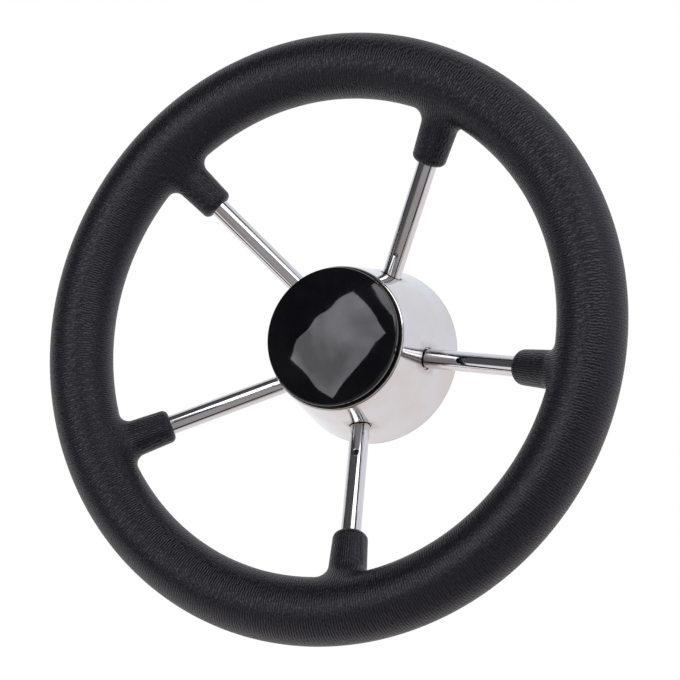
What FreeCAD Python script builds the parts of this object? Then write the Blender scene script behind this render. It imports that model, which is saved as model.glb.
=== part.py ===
import FreeCAD, Part
import math
import os
import Sketcher
from FreeCAD import Placement, Rotation, Vector

# Stainless boat steering wheel, in millimetres.
# Y is the shaft axis, and +Y points to the helm. The front of the wheel faces -Y and +Z is up.
# The origin is the centre of the tapered bore's large end, on the boss's rear face.

SIZES = [
    ("wheel_diameter", 342.9, "outside of the grip, 13.5 in"),
    ("grip_thickness", 37.0, "diameter of the grip's round section"),
    ("rim_rod_diameter", 12.7, "steel ring inside the grip, 1/2 in rod"),
    ("spoke_count", 5, "spokes, evenly spaced"),
    ("first_spoke_angle", 180.0, "turn of the first spoke from straight up"),
    ("spoke_diameter", 11.1, "spoke rod, 7/16 in"),
    ("dish_angle", 23.8, "slope of the spokes from the rim back to the hub"),
    ("spoke_seat", 10.7, "spoke's centre on the boss, in front of the boss's rear face"),
    ("sleeve_length", 45.6, "rim ring's centre to the sleeve's tip, along the spoke"),
    ("sleeve_tip_diameter", 19.4, "sleeve at its tip"),
    ("sleeve_root_diameter", 22.6, "sleeve where it runs into the grip"),
    ("sleeve_tip_rounding", 3.4, "rounded edge of the sleeve's tip"),
    ("sleeve_blend", 6.5, "fillet between sleeve and grip"),
    ("skirt_rear_diameter", 105.2, "outside of the skirt at its rear edge"),
    ("skirt_front_diameter", 82.8, "outside of the skirt at its front corner"),
    ("skirt_overhang", 8.8, "skirt's rear edge behind the boss's rear face"),
    ("skirt_wall", 1.5, "sheet of the skirt"),
    ("skirt_fold", 2.0, "outside radius where the sheet folds in at the front"),
    ("skirt_edge_rounding", 0.4, "broken edges at the rear of the skirt"),
    ("ledge_diameter", 62.0, "opening inside the front ledge"),
    ("spoke_hole_clearance", 0.4, "gap round a spoke in its hole"),
    ("boss_diameter", 38.0, "outside of the boss"),
    ("boss_length", 44.0, "boss along the shaft"),
    ("boss_chamfer", 1.0, "broken edges of the boss"),
    ("taper_diameter", 19.05, "large end of the bore, for a 3/4 in shaft"),
    ("taper_ratio", 12.0, "length in which the bore's diameter shrinks by one"),
    ("keyway_width", 4.76, "for a 3/16 in key"),
    ("keyway_depth", 2.4, "below the bore's surface"),
    ("washer_diameter", 27.0, "outside of the washer"),
    ("washer_hole", 13.5, "hole of the washer"),
    ("washer_thickness", 2.5, "washer along the shaft"),
    ("nut_flats", 19.05, "nut across its flats, 3/4 in"),
    ("nut_height", 11.1, "nut along the shaft"),
    ("nut_hole", 11.4, "core hole of the 1/2 in fine thread"),
    ("nut_chamfer_angle", 30.0, "slope of the nut's corner chamfers"),
    ("cap_diameter", 79.2, "outside of the cap's edge"),
    ("cap_height", 11.9, "top of the dome above the skirt's front face"),
    ("cap_edge_height", 5.2, "height of the cap's straight edge, before its rounding"),
    ("cap_edge_rounding", 1.5, "rounding between dome and edge"),
    ("cap_wall", 2.4, "moulded wall of the cap"),
    ("nut_clearance", 2.5, "gap between the nut and the top of the cap"),
    ("clip_count", 6, "snap legs under the cap"),
    ("clip_angle", 15.0, "width of a snap leg, seen from the axis"),
    ("clip_thickness", 1.8, "wall of a snap leg"),
    ("clip_footing", 0.8, "how far a snap leg runs into the dome above the straight edge"),
    ("clip_clearance", 0.3, "gap between snap legs and ledge"),
    ("clip_hook", 1.0, "how far a snap leg hooks behind the ledge"),
    ("clip_nose", 2.6, "sloped nose of a snap leg, along the shaft"),
]

doc = FreeCAD.newDocument("SteeringWheel")
sheet = doc.addObject("Spreadsheet::Sheet", "Sizes")
for row, (alias, value, note) in enumerate(SIZES, start=1):
    sheet.set(f"A{row}", alias)
    sheet.set(f"B{row}", str(value))
    sheet.set(f"C{row}", note)
    sheet.setAlias(f"B{row}", alias)
doc.recompute()


# Sizes that follow from the driving ones

RING_RADIUS = "((Sizes.wheel_diameter - Sizes.grip_thickness) / 2)"
RIM_PLACE = f"(({RING_RADIUS} - Sizes.boss_diameter / 2) * -tan(Sizes.dish_angle) - Sizes.spoke_seat)"
TAPER_FRONT_RADIUS = "((Sizes.taper_diameter - Sizes.boss_length / Sizes.taper_ratio) / 2)"
NUT_REAR = "(Sizes.boss_length + Sizes.washer_thickness)"
NUT_CORNER_RADIUS = "(Sizes.nut_flats / 2 / cos(30))"
CAP_INSIDE = f"({NUT_REAR} + Sizes.nut_height + Sizes.nut_clearance)"
SKIRT_FRONT = f"(Sizes.cap_height - Sizes.cap_wall - {CAP_INSIDE})"
SKIRT_DEPTH = f"(Sizes.skirt_overhang - {SKIRT_FRONT})"
SKIRT_FLARE = f"((Sizes.skirt_rear_diameter - Sizes.skirt_front_diameter) / 2 / {SKIRT_DEPTH})"
SKIRT_WALL_ACROSS = f"(Sizes.skirt_wall * sqrt(1 + {SKIRT_FLARE}^2))"
LEDGE_RADIUS = "(Sizes.ledge_diameter / 2)"
CLIP_OUTSIDE = f"({LEDGE_RADIUS} - Sizes.clip_clearance)"
HOOK_PLACE = f"({SKIRT_FRONT} + Sizes.skirt_wall + Sizes.clip_clearance)"
DOME_RISE = "(Sizes.cap_height - Sizes.cap_edge_height)"
DOME_RADIUS = f"({DOME_RISE} / 2 + Sizes.cap_diameter^2 / (8 * {DOME_RISE}))"

SAME_PLACE = 0.01


def number(expression):
    """Value of an expression in the sheet's sizes."""
    return float(sheet.evalExpression(expression))


# Sketches and features

def origin_feature(body, role):
    return next(item for item in body.Origin.OriginFeatures if item.Role == role)


def new_sketch(body, name, plane="YZ_Plane"):
    """Sketch on one of the body's planes. On YZ, x runs along the shaft and y is the radius."""
    sketch = body.newObject("Sketcher::SketchObject", name)
    sketch.AttachmentSupport = (origin_feature(body, plane), [""])
    sketch.MapMode = "FlatFace"
    return sketch


def new_spoke_sketch(body, name):
    """Sketch whose x axis runs down the upper spoke, from the rim ring's centre to the hub."""
    sketch = new_sketch(body, name)
    sketch.AttachmentOffset = Placement(Vector(), Rotation(Vector(0, 0, 1), number("Sizes.dish_angle - 90")))
    sketch.setExpression("AttachmentOffset.Base.x", RIM_PLACE)
    sketch.setExpression("AttachmentOffset.Base.y", RING_RADIUS)
    sketch.setExpression("AttachmentOffset.Rotation.Angle", "Sizes.dish_angle - 90")
    return sketch


def hold(sketch, kind, geometry, point, expression):
    """Bind one coordinate of a point to an expression."""
    index = sketch.addConstraint(Sketcher.Constraint(kind, -1, 1, geometry, point, number(expression)))
    name = f"{kind.lower()}_{geometry}_{point}"
    sketch.renameConstraint(index, name)
    sketch.setExpression(f"Constraints.{name}", expression)


def place(sketch, geometry, point, x, y):
    """Hold a point at (x, y), on an axis where a coordinate is nought, and free where it is None."""
    for coordinate, kind, axis in ((x, "DistanceX", -2), (y, "DistanceY", -1)):
        if coordinate == "0":
            sketch.addConstraint(Sketcher.Constraint("PointOnObject", geometry, point, axis))
        elif coordinate is not None:
            hold(sketch, kind, geometry, point, coordinate)


def minor_arc(start, end, centre):
    """Shorter arc between two points, and whether it runs from start to end."""
    circle = Part.Circle(centre, Vector(0, 0, 1), start.distanceToPoint(centre))
    first, last = [math.atan2(point.y - centre.y, point.x - centre.x) for point in (start, end)]
    forwards = (last - first) % math.tau < math.pi
    if not forwards:
        first, last = last, first
    return Part.ArcOfCircle(circle, first, first + (last - first) % math.tau), forwards


def axis_centre(start, end):
    """Point on the x axis that is as far from start as from end."""
    return Vector((start.Length ** 2 - end.Length ** 2) / (2 * (start.x - end.x)), 0, 0)


def centre_at(x, start, end):
    """Point at the given x that is as far from start as from end."""
    y = (start.Length ** 2 - end.Length ** 2 - 2 * x * (start.x - end.x)) / (2 * (start.y - end.y))
    return Vector(x, y, 0)


def outline(sketch, corners, domes=(), rounds=None):
    """Closed outline through corners given as expressions.

    A side in domes is an arc centred on the x axis. rounds gives other arcs, by side and centre's x.
    """
    points = [Vector(number(x), number(y), 0) for x, y in corners]
    rounds = rounds or {}
    ends = []
    for side, start in enumerate(points):
        end = points[(side + 1) % len(points)]
        if side in domes:
            arc, forwards = minor_arc(start, end, axis_centre(start, end))
            geometry = sketch.addGeometry(arc)
            place(sketch, geometry, 3, None, "0")
        elif side in rounds:
            arc, forwards = minor_arc(start, end, centre_at(number(rounds[side]), start, end))
            geometry = sketch.addGeometry(arc)
            place(sketch, geometry, 3, rounds[side], None)
        else:
            forwards = True
            geometry = sketch.addGeometry(Part.LineSegment(start, end))
        ends.append((geometry, 1, 2) if forwards else (geometry, 2, 1))
    for side, (geometry, first, last) in enumerate(ends):
        following, following_first, _ = ends[(side + 1) % len(ends)]
        sketch.addConstraint(Sketcher.Constraint("Coincident", geometry, last, following, following_first))
        place(sketch, geometry, first, *corners[side])


def circle(sketch, x, y, diameter):
    centre = Vector(number(x), number(y), 0)
    geometry = sketch.addGeometry(Part.Circle(centre, Vector(0, 0, 1), number(diameter) / 2))
    place(sketch, geometry, 3, x, y)
    index = sketch.addConstraint(Sketcher.Constraint("Diameter", geometry, number(diameter)))
    name = f"diameter_{geometry}"
    sketch.renameConstraint(index, name)
    sketch.setExpression(f"Constraints.{name}", diameter)


def turn(body, sketch, kind="Revolution"):
    """Revolution or groove of a sketch about its own x axis."""
    feature = body.newObject(f"PartDesign::{kind}", f"{sketch.Name}Turned")
    feature.Profile = sketch
    feature.ReferenceAxis = (sketch, ["H_Axis"])
    feature.Angle = 360
    sketch.Visibility = False
    doc.recompute()
    return feature


def repeat(body, feature, count):
    """Copies of a feature, evenly spaced about the shaft axis."""
    pattern = body.newObject("PartDesign::PolarPattern", f"{feature.Name}Copies")
    pattern.Originals = [feature]
    pattern.Axis = (origin_feature(body, "Y_Axis"), [""])
    pattern.Angle = 360
    pattern.setExpression("Occurrences", count)
    body.Tip = pattern
    doc.recompute()
    return pattern


def round_edges(body, name, base, chosen, radius):
    """Fillet on each edge of base that the test picks."""
    numbered = enumerate(base.Shape.Edges, start=1)
    edges = [f"Edge{index}" for index, edge in numbered if not edge.Degenerated and chosen(edge)]
    if not edges:
        raise ValueError(f"{name} finds no edge to round")
    fillet = body.newObject("PartDesign::Fillet", name)
    fillet.Base = (base, edges)
    fillet.setExpression("Radius", radius)
    doc.recompute()
    return fillet


def ring_edge(x, y):
    """Test for a full circle about the shaft, x along the shaft and y from it."""
    along, radius = number(x), number(y)

    def chosen(edge):
        round_edge = edge.Curve.TypeId == "Part::GeomCircle"
        return round_edge and math.isclose(edge.Curve.Radius, radius, abs_tol=SAME_PLACE) \
            and math.isclose(edge.Curve.Center.y, along, abs_tol=SAME_PLACE)
    return chosen


def new_body(label, turns=None):
    """Body with a label of its own, turned about the shaft so that its spoke points the right way."""
    body = doc.addObject("PartDesign::Body", label.title().replace("_", ""))
    body.Label = label
    if turns is not None:
        body.Placement = Placement(Vector(), Rotation(Vector(0, 1, 0), number(turns)))
        body.setExpression("Placement.Rotation.Angle", turns)
    return body


# Grip: a round ring with a tapered sleeve down each spoke, moulded over the steel

def spoke_cylinder(body, name, start, end, diameter):
    """Sketch of a rod's half section along the upper spoke."""
    sketch = new_spoke_sketch(body, name)
    outline(sketch, [(start, "0"), (start, f"{diameter} / 2"), (end, f"{diameter} / 2"), (end, "0")])
    return sketch


def ring_section(body, name, diameter):
    sketch = new_sketch(body, name)
    circle(sketch, RIM_PLACE, RING_RADIUS, diameter)
    return sketch


def is_sleeve_root(edge):
    """Test for the closed curve where a sleeve meets the round ring."""
    middle = edge.BoundBox.Center
    from_shaft = math.hypot(middle.x, middle.z)
    inner = number(RING_RADIUS) - number("Sizes.grip_thickness") / 2
    return edge.Curve.TypeId == "Part::GeomBSplineCurve" and from_shaft > inner - number("Sizes.sleeve_blend")


def make_grip():
    body = new_body("foam_grip", "Sizes.first_spoke_angle")
    turn(body, ring_section(body, "GripRing", "Sizes.grip_thickness"))

    sleeve = new_spoke_sketch(body, "GripSleeve")
    root = "Sizes.rim_rod_diameter / 2"
    rounding_start = "Sizes.sleeve_length - Sizes.sleeve_tip_rounding"
    outline(sleeve, [
        (root, "0"),
        (root, "Sizes.sleeve_root_diameter / 2"),
        (rounding_start, "Sizes.sleeve_tip_diameter / 2"),
        ("Sizes.sleeve_length", "Sizes.sleeve_tip_diameter / 2 - Sizes.sleeve_tip_rounding"),
        ("Sizes.sleeve_length", "0"),
    ], rounds={2: rounding_start})
    sleeves = repeat(body, turn(body, sleeve), "Sizes.spoke_count")
    round_edges(body, "SleeveBlend", sleeves, is_sleeve_root, "Sizes.sleeve_blend")

    turn(body, ring_section(body, "RingChannel", "Sizes.rim_rod_diameter"), "Groove")
    beyond = "Sizes.sleeve_length + Sizes.sleeve_blend"
    channel = spoke_cylinder(body, "SpokeChannel", "0", beyond, "Sizes.spoke_diameter")
    repeat(body, turn(body, channel, "Groove"), "Sizes.spoke_count")
    return body


# Steel: the rim ring, and rods that are shaped to the ring and to the boss at their ends

def make_rim_ring():
    body = new_body("rim_ring")
    turn(body, ring_section(body, "RingSection", "Sizes.rim_rod_diameter"))
    return body


def make_spoke(index):
    body = new_body(f"spoke_{index + 1}", f"Sizes.first_spoke_angle + {index} * 360 / Sizes.spoke_count")
    end_radius = "(Sizes.boss_diameter - Sizes.spoke_diameter) / 2"
    inside_boss = f"({RING_RADIUS} - {end_radius}) / cos(Sizes.dish_angle)"
    turn(body, spoke_cylinder(body, f"Rod{index}", "0", inside_boss, "Sizes.spoke_diameter"))
    turn(body, ring_section(body, f"RingEnd{index}", "Sizes.rim_rod_diameter"), "Groove")
    boss_end = new_sketch(body, f"BossEnd{index}")
    outline(boss_end, [
        ("0", "0"),
        ("0", "Sizes.boss_diameter / 2"),
        ("-Sizes.boss_length", "Sizes.boss_diameter / 2"),
        ("-Sizes.boss_length", "0"),
    ])
    turn(body, boss_end, "Groove")
    return body


# Hub: the spun skirt, the boss that sits on the shaft, and the washer and nut that hold it there

def make_shell():
    body = new_body("hub_shell", "Sizes.first_spoke_angle")
    skirt = new_sketch(body, "Skirt")
    rear = "Sizes.skirt_overhang"
    rear_radius = "Sizes.skirt_rear_diameter / 2"
    rear_inside = f"Sizes.skirt_rear_diameter / 2 - {SKIRT_WALL_ACROSS}"
    front_radius = "Sizes.skirt_front_diameter / 2"
    ledge_back = f"{SKIRT_FRONT} + Sizes.skirt_wall"
    fold_inside = f"Sizes.skirt_front_diameter / 2 + Sizes.skirt_wall * {SKIRT_FLARE} - {SKIRT_WALL_ACROSS}"
    outline(skirt, [
        (rear, rear_inside),
        (rear, rear_radius),
        (SKIRT_FRONT, front_radius),
        (SKIRT_FRONT, LEDGE_RADIUS),
        (ledge_back, LEDGE_RADIUS),
        (ledge_back, fold_inside),
    ])
    spun = turn(body, skirt)
    spun = round_edges(body, "Fold", spun, ring_edge(SKIRT_FRONT, front_radius), "Sizes.skirt_fold")
    inner = "Sizes.skirt_fold - Sizes.skirt_wall"
    spun = round_edges(body, "FoldInside", spun, ring_edge(ledge_back, fold_inside), inner)
    edge = ring_edge(rear, rear_radius)
    round_edges(body, "RearEdge", spun, edge, "Sizes.skirt_edge_rounding")

    outside = f"({RING_RADIUS} - Sizes.skirt_rear_diameter / 2) / cos(Sizes.dish_angle)"
    inside = f"({RING_RADIUS} - Sizes.boss_diameter / 2) / cos(Sizes.dish_angle)"
    diameter = "(Sizes.spoke_diameter + 2 * Sizes.spoke_hole_clearance)"
    hole = spoke_cylinder(body, "SpokeHole", outside, inside, diameter)
    repeat(body, turn(body, hole, "Groove"), "Sizes.spoke_count")
    return body


def make_boss():
    body = new_body("hub_boss")
    section = new_sketch(body, "BossSection")
    shoulder = "Sizes.boss_diameter / 2 - Sizes.boss_chamfer"
    outline(section, [
        ("0", "Sizes.taper_diameter / 2"),
        ("0", shoulder),
        ("-Sizes.boss_chamfer", "Sizes.boss_diameter / 2"),
        ("Sizes.boss_chamfer - Sizes.boss_length", "Sizes.boss_diameter / 2"),
        ("-Sizes.boss_length", shoulder),
        ("-Sizes.boss_length", TAPER_FRONT_RADIUS),
    ])
    turn(body, section)
    keyway = new_sketch(body, "Keyway")
    outline(keyway, [
        ("0", "0"),
        ("0", "Sizes.taper_diameter / 2 + Sizes.keyway_depth"),
        ("-Sizes.boss_length", f"{TAPER_FRONT_RADIUS} + Sizes.keyway_depth"),
        ("-Sizes.boss_length", "0"),
    ])
    slot = body.newObject("PartDesign::Pocket", "KeywaySlot")
    slot.Profile = keyway
    slot.Midplane = True
    slot.setExpression("Length", "Sizes.keyway_width")
    keyway.Visibility = False
    doc.recompute()
    return body


def make_washer():
    body = new_body("shaft_washer")
    section = new_sketch(body, "WasherSection")
    outline(section, [
        ("-Sizes.boss_length", "Sizes.washer_hole / 2"),
        ("-Sizes.boss_length", "Sizes.washer_diameter / 2"),
        (f"-{NUT_REAR}", "Sizes.washer_diameter / 2"),
        (f"-{NUT_REAR}", "Sizes.washer_hole / 2"),
    ])
    turn(body, section)
    return body


def make_nut():
    body = new_body("shaft_nut")
    hexagon = new_sketch(body, "Hexagon", "XZ_Plane")
    hexagon.setExpression("AttachmentOffset.Base.z", NUT_REAR)
    corners = range(30, 360, 60)
    outline(hexagon, [
        (f"{NUT_CORNER_RADIUS} * cos({angle})" if angle % 180 != 90 else "0",
         f"{NUT_CORNER_RADIUS} * sin({angle})")
        for angle in corners
    ])
    circle(hexagon, "0", "0", "Sizes.nut_hole")
    blank = body.newObject("PartDesign::Pad", "NutBlank")
    blank.Profile = hexagon
    blank.setExpression("Length", "Sizes.nut_height")
    hexagon.Visibility = False
    doc.recompute()

    flat = "Sizes.nut_flats / 2"
    beyond = "Sizes.nut_flats"
    slope = "Sizes.nut_flats / 2 * tan(Sizes.nut_chamfer_angle)"
    rear = f"-{NUT_REAR}"
    front = f"-({NUT_REAR} + Sizes.nut_height)"
    ends = (("FrontChamfer", front, f"{front} + {slope}"), ("RearChamfer", rear, f"{rear} - {slope}"))
    for name, face, inwards in ends:
        chamfer = new_sketch(body, name)
        outline(chamfer, [(face, flat), (face, beyond), (inwards, beyond)])
        turn(body, chamfer, "Groove")
    return body


# Cap: a moulded dome whose edge stands on the ledge, with snap legs behind the ledge

def make_cap():
    body = new_body("centre_cap")
    dome = new_sketch(body, "Dome")
    edge = "Sizes.cap_diameter / 2"
    shoulder = f"{SKIRT_FRONT} - Sizes.cap_edge_height"
    top = f"{SKIRT_FRONT} - Sizes.cap_height"
    to_rounding = f"({DOME_RADIUS} - Sizes.cap_edge_rounding)"
    rounding_height = f"({edge} - Sizes.cap_edge_rounding)"
    dome_centre = f"({top} + {DOME_RADIUS})"
    behind = f"sqrt({to_rounding}^2 - {rounding_height}^2)"
    rounding_place = f"({dome_centre} - {behind})"
    outline(dome, [
        (top, "0"),
        (f"{dome_centre} - {behind} * {DOME_RADIUS} / {to_rounding}",
         f"{rounding_height} * {DOME_RADIUS} / {to_rounding}"),
        (rounding_place, edge),
        (SKIRT_FRONT, edge),
        (SKIRT_FRONT, f"{edge} - Sizes.cap_wall"),
        (f"{shoulder} + Sizes.cap_wall", f"{edge} - Sizes.cap_wall"),
        (f"{top} + Sizes.cap_wall", "0"),
    ], domes=(0, 5), rounds={1: rounding_place})
    turn(body, dome)

    clip = new_sketch(body, "Clip")
    root = f"{SKIRT_FRONT} - Sizes.cap_edge_height - Sizes.clip_footing"
    clip_inside = f"{CLIP_OUTSIDE} - Sizes.clip_thickness"
    tip = f"{HOOK_PLACE} + Sizes.clip_nose"
    outline(clip, [
        (root, clip_inside),
        (root, CLIP_OUTSIDE),
        (HOOK_PLACE, CLIP_OUTSIDE),
        (HOOK_PLACE, f"{LEDGE_RADIUS} + Sizes.clip_hook"),
        (tip, f"{CLIP_OUTSIDE} - Sizes.clip_thickness / 2"),
        (tip, clip_inside),
    ])
    leg = turn(body, clip)
    leg.Midplane = True
    leg.setExpression("Angle", "Sizes.clip_angle")
    doc.recompute()
    repeat(body, leg, "Sizes.clip_count")
    return body


nodes = [make_grip(), make_rim_ring()]
nodes += [make_spoke(index) for index in range(round(number("Sizes.spoke_count")))]
nodes += [make_shell(), make_boss(), make_washer(), make_nut(), make_cap()]
doc.recompute()

for item in doc.Objects:
    if "Invalid" in item.State or "Error" in item.State:
        raise RuntimeError(f"{item.Label} did not build: {item.State}")
for node in nodes:
    if node.Shape.isNull() or not node.Shape.isValid() or len(node.Shape.Solids) != 1:
        raise RuntimeError(f"{node.Label} is not one valid solid")

os.makedirs("parts", exist_ok=True)
for node in nodes:
    node.Shape.exportStep(f"parts/{node.Label}.step")
    print(f"{node.Label}: {node.Shape.Volume / 1000:.2f} cm3")
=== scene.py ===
import math

import bpy
import numpy as np
from mathutils import Euler, Matrix


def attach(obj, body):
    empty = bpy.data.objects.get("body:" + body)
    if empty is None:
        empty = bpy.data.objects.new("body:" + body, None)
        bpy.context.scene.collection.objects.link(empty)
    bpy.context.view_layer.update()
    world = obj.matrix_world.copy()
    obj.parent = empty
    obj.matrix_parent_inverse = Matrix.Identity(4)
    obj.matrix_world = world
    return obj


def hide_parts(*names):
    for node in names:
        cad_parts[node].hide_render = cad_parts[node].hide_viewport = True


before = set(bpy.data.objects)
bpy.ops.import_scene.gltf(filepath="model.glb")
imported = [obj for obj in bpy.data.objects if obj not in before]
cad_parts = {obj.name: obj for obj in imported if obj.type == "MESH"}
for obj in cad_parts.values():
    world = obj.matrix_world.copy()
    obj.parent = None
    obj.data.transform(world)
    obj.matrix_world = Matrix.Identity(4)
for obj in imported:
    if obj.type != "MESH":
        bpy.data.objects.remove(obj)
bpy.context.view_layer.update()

bl_info = {
    "name": "Boat steering wheel",
    "version": (1, 0, 0),
    "blender": (4, 5, 0),
    "location": "3D View > Sidebar > Wheel",
    "description": "Dresses the packed steering wheel with moulded, polished and turned surfaces",
    "category": "Object",
}

SPOKES = 5
FIRST_SPOKE = -math.pi / 2
TURN = 2 * math.pi
BACK = np.array([0.0, 1.0, 0.0])
SHARP_EDGE = math.radians(50)


# Sizes and colours that a user would change

def metres(name, description, default):
    return bpy.props.FloatProperty(name=name, description=description, default=default, unit="LENGTH")


def degrees(name, description, default):
    return bpy.props.FloatProperty(
        name=name, description=description, default=math.radians(default), subtype="ANGLE")


def rgb(name, description, default):
    return bpy.props.FloatVectorProperty(
        name=name, description=description, default=default, subtype="COLOR")


class WheelSizes(bpy.types.PropertyGroup):
    """Sizes of the wheel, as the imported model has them"""
    ring_radius: metres("Ring radius", "Shaft axis to the middle of the grip's section", 0.15295)
    ring_place: metres("Ring place", "Rim's middle plane along the shaft", -0.06978)
    grip_radius: metres("Grip radius", "Radius of the grip's section, inside the packed facets", 0.01844)
    dish_angle: degrees("Dish angle", "Slope of the spokes", 23.8)
    rod_radius: metres("Rod radius", "Radius of a spoke", 0.00555)
    sleeve_length: metres("Sleeve length", "Ring's middle to the sleeve's tip", 0.0456)
    sleeve_root: metres("Sleeve root", "Radius of the sleeve where it leaves the ring", 0.0113)
    sleeve_tip: metres("Sleeve tip", "Radius of the sleeve at its tip", 0.0097)
    sleeve_rounding: metres("Tip rounding", "Rounded edge of the sleeve's tip", 0.0034)
    sleeve_blend: metres("Sleeve blend", "Fillet between sleeve and ring", 0.0065)
    skirt_rear: metres("Skirt rear", "Rear edge of the skirt along the shaft", 0.0088)
    skirt_front: metres("Skirt front", "Front face of the skirt along the shaft", -0.0506)
    skirt_rear_radius: metres("Skirt rear radius", "Outside of the skirt at its rear edge", 0.0526)
    skirt_front_radius: metres("Skirt front radius", "Outside of the skirt at its front corner", 0.0414)
    skirt_wall: metres("Skirt wall", "Sheet of the skirt", 0.0015)
    skirt_fold: metres("Skirt fold", "Outside radius of the front fold", 0.0020)
    ledge_radius: metres("Ledge radius", "Opening inside the front ledge", 0.031)
    hole_gap: metres("Hole gap", "Gap round a spoke in its hole", 0.0004)
    boss_radius: metres("Boss radius", "Outside of the boss", 0.019)
    cap_radius: metres("Cap radius", "Outside of the cap", 0.0396)
    cap_height: metres("Cap height", "Top of the dome above the skirt's front", 0.0119)
    cap_edge: metres("Cap edge", "Height of the cap's straight edge", 0.0052)
    cap_rounding: metres("Cap rounding", "Rounding between dome and edge", 0.0015)
    cap_wall: metres("Cap wall", "Moulded wall of the cap", 0.0024)
    leg_width: degrees("Leg width", "Width of a snap leg, seen from the shaft", 15)
    leg_wall: metres("Leg wall", "Wall of a snap leg", 0.0018)
    leg_gap: metres("Leg gap", "Gap between snap legs and ledge", 0.0003)
    leg_hook: metres("Leg hook", "How far a snap leg hooks behind the ledge", 0.001)
    leg_nose: metres("Leg nose", "Sloped nose of a snap leg", 0.0026)


class WheelColours(bpy.types.PropertyGroup):
    """Colours of the wheel's finishes"""
    foam: rgb("Foam", "Skin of the grip", (0.0052, 0.0050, 0.0070))
    steel: rgb("Steel", "Polished stainless steel", (0.66, 0.65, 0.66))
    cap: rgb("Cap", "Gloss moulded plastic", (0.0009, 0.0009, 0.0019))
    floor: rgb("Floor", "Pale floor", (0.82, 0.82, 0.82))


class WheelStage(bpy.types.PropertyGroup):
    """Camera and floor"""
    eye: bpy.props.FloatVectorProperty(
        name="Camera", description="Place of the camera", default=(0.3447, -0.9039, -0.2212),
        subtype="TRANSLATION")
    turn: bpy.props.FloatVectorProperty(
        name="Camera turn", description="Rotation of the camera",
        default=tuple(math.radians(a) for a in (103.465, 4.735, 22.947)), subtype="EULER")
    focal_pixels: bpy.props.FloatProperty(
        name="Focal length", description="Focal length in pixels of a square frame", default=1683.9)
    frame_pixels: bpy.props.IntProperty(
        name="Frame", description="Side of the square frame in pixels", default=680)
    floor_height: metres("Floor height", "Height of the floor, from the shaft", -0.30)
    floor_radius: metres("Floor radius", "Radius of the floor's disc", 1.6)


def add_object(name, data):
    item = bpy.data.objects.new(name, data)
    bpy.context.scene.collection.objects.link(item)
    return item


# Surfaces worked out as whole arrays

class Skin:
    """Points, texture places and faces of one piece, gathered grid by grid."""

    def __init__(self):
        self.points = np.zeros((0, 3))
        self.places = np.zeros((0, 2))
        self.wear_and_shade = np.zeros(0)
        self.faces = []

    def add(self, points, places=None, wear_and_shade=0.0):
        """Adds points and gives their numbers, in the shape of the grid. The mask of dirt and painted shade
        is 1 in a seam.
        """
        shape = points.shape[:-1]
        first = len(self.points)
        flat = points.reshape(-1, 3)
        self.points = np.concatenate([self.points, flat])
        places = np.zeros((len(flat), 2)) if places is None else places.reshape(-1, 2)
        self.places = np.concatenate([self.places, places])
        self.wear_and_shade = np.concatenate([self.wear_and_shade, np.broadcast_to(wear_and_shade, shape).ravel()])
        return first + np.arange(len(flat)).reshape(shape)

    def quads(self, *corners):
        self.faces += np.stack(corners, -1).reshape(-1, 4).tolist()

    def rings(self, loops):
        """Quads between one closed loop of points and the next."""
        loops = np.stack(loops)
        following = np.roll(loops, -1, axis=1)
        self.quads(loops[:-1], following[:-1], following[1:], loops[1:])

    def fan(self, loop, centre):
        self.faces += np.stack([loop, np.roll(loop, -1), np.full(len(loop), centre)], -1).tolist()

    def volume(self):
        """Sum over the faces of the tetrahedra that their triangles make with the origin."""
        total = 0.0
        for corners in {len(face) for face in self.faces}:
            faces = np.array([face for face in self.faces if len(face) == corners], int)
            for last in range(2, corners):
                a, b, c = (self.points[faces[:, n]] for n in (0, last - 1, last))
                total += np.einsum("ij,ij->i", a, np.cross(b, c)).sum() / 6
        return total

    def piece(self, name, material):
        """The mesh object, with its faces outwards and its texture places as a UV map."""
        if self.volume() < 0:
            self.faces = [face[::-1] for face in self.faces]
        mesh = bpy.data.meshes.new(name)
        mesh.from_pydata(self.points.tolist(), [], self.faces)
        corners = np.zeros(len(mesh.loops), int)
        mesh.loops.foreach_get("vertex_index", corners)
        layer = mesh.uv_layers.new(name="UVMap")
        layer.data.foreach_set("uv", self.places[corners].ravel())
        mesh.attributes.new("wear_and_shade", "FLOAT", "POINT").data.foreach_set("value", self.wear_and_shade)
        mesh.polygons.foreach_set("use_smooth", np.ones(len(mesh.polygons), bool))
        mesh.set_sharp_from_angle(angle=SHARP_EDGE)
        mesh.materials.append(material)
        mesh.validate()
        return add_object(name, mesh)


def open_grid(skin, ids, blocks):
    """Quads of a grid that closes round its columns and its rows, with blocks of cells left out.

    ids is columns by rows. A block is (first column, first row, width, height), and its edge comes
    back as a loop of columns and rows.
    """
    columns, rows = ids.shape
    i, j = np.meshgrid(np.arange(columns), np.arange(rows), indexing="ij")
    keep = np.ones(i.shape, bool)
    loops = []
    for column, row, width, height in blocks:
        keep[np.ix_((column + np.arange(width)) % columns, (row + np.arange(height)) % rows)] = False
        along, up = np.arange(width), np.arange(height)
        loop_columns = [column + along, np.full(height, column + width), column + width - along,
                        np.full(height, column)]
        loop_rows = [np.full(width, row), row + up, np.full(width, row + height), row + height - up]
        loops.append((np.concatenate(loop_columns), np.concatenate(loop_rows)))
    i, j = i[keep], j[keep]
    right, up = (i + 1) % columns, (j + 1) % rows
    skin.quads(ids[i, j], ids[right, j], ids[right, up], ids[i, up])
    return loops


def circle(count):
    """Angles of a whole turn in equal steps."""
    return np.linspace(0, TURN, count, endpoint=False)


def shares(steps):
    """Equal steps up to 1, without 0."""
    return np.linspace(0, 1, steps + 1)[1:]


def between(start, end, share):
    return (1 - share) * start + share * end


def pairs(first, second):
    return np.stack(np.broadcast_arrays(first, second), -1)


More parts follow.
